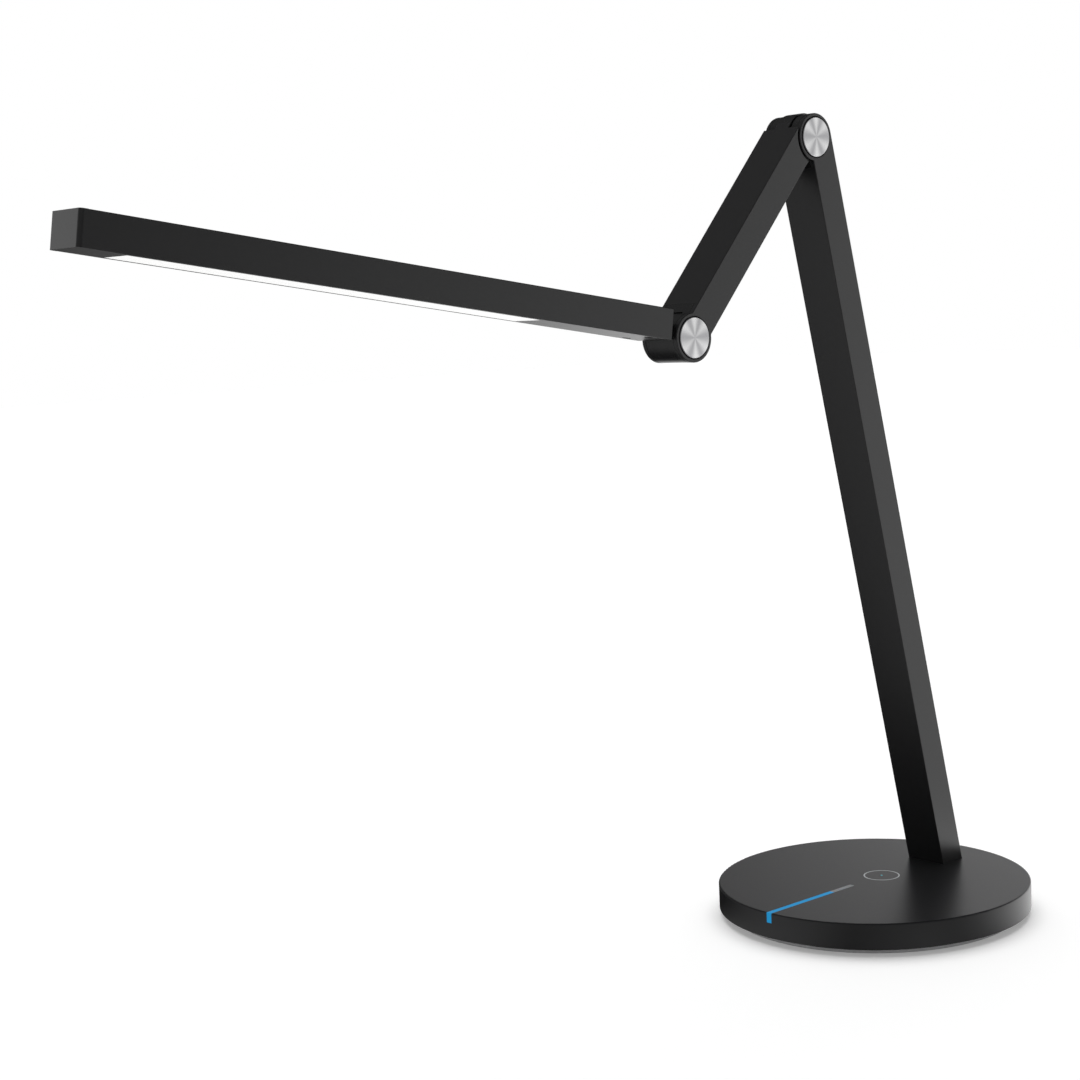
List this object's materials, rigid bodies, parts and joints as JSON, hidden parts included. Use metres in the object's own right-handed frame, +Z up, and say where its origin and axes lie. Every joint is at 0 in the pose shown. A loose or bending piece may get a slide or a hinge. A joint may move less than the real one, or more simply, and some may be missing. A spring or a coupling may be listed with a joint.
{
  "type": "desk lamp",
  "caption": "Folding LED desk lamp: weighted round base with touch controls, leaning post, short arm and long light bar on two friction hinges.",
  "frame": {"origin": "centre of the round foot's underside, on the table", "axes": "+X forward under the light bar, +Y along the hinge axes towards the side of the bolt heads, +Z up"},
  "size_m": [0.6187, 0.19, 0.4831],
  "materials": {
    "satin_black": "satin black anodised",
    "black_casting": "satin black coated casting",
    "turned_aluminium": "face-turned, clear anodised",
    "zinc_steel": "zinc plated",
    "black_screw": "black oxide",
    "ballast_iron": "as cast, oiled",
    "bearing_bronze": "sintered bronze",
    "black_abs": "fine moulded texture",
    "grey_silicone": "matt",
    "grey_inlay": "satin",
    "indicator": "clear tinted",
    "blue_light_guide": "lit from below",
    "circuit_board": "solder mask",
    "chips": "moulded",
    "inlet_black": "moulded",
    "wire_sheath": "smooth",
    "led_board_white": "white solder mask",
    "led_phosphor": "phosphor",
    "reflector_white": "white moulded",
    "opal_diffuser": "opal, lit"
  },
  "bodies": {
    "stand": {"base_shell": "satin_black", "post_beam": "satin_black", "post_fork": "black_casting", "upper_cap_near": "turned_aluminium", "upper_cap_far": "turned_aluminium", "base_screws": "zinc_steel", "post_foot": "zinc_steel", "post_foot_bolts": "zinc_steel", "upper_bolt": "zinc_steel", "upper_nut": "zinc_steel", "upper_disc_springs": "zinc_steel", "base_weight": "ballast_iron", "upper_friction_washers": "bearing_bronze", "base_plate": "black_abs", "foot_pad": "grey_silicone", "touch_ring": "grey_inlay", "status_dot": "indicator", "dimmer_guide": "blue_light_guide", "control_board": "circuit_board", "board_parts": "chips", "dc_jack": "inlet_black", "post_wire": "wire_sheath"},
    "arm": {"arm_beam": "satin_black", "arm_tongue": "black_casting", "arm_fork": "black_casting", "arm_wire": "wire_sheath", "upper_bushing": "bearing_bronze", "lower_bolt": "zinc_steel", "lower_nut": "zinc_steel", "lower_disc_springs": "zinc_steel", "lower_friction_washers": "bearing_bronze", "lower_cap_near": "turned_aluminium", "lower_cap_far": "turned_aluminium"},
    "head": {"head_housing": "satin_black", "head_end_cap": "satin_black", "head_tongue": "black_casting", "head_screws": "black_screw", "head_wire": "wire_sheath", "led_board": "led_board_white", "led_chips": "led_phosphor", "reflector": "reflector_white", "diffuser": "opal_diffuser", "lower_bushing": "bearing_bronze"}
  },
  "joints": [
    {"name": "upper_hinge", "type": "hinge", "parent": "stand", "child": "arm", "pos_m": [0.04643, 0, 0.46883], "axis": [0, -1, 0], "range_deg": [-16, 125]},
    {"name": "lower_hinge", "type": "hinge", "parent": "arm", "child": "head", "pos_m": [0.15194, 0, 0.3589], "axis": [0, -1, 0], "range_deg": [-52, 55]}
  ]
}
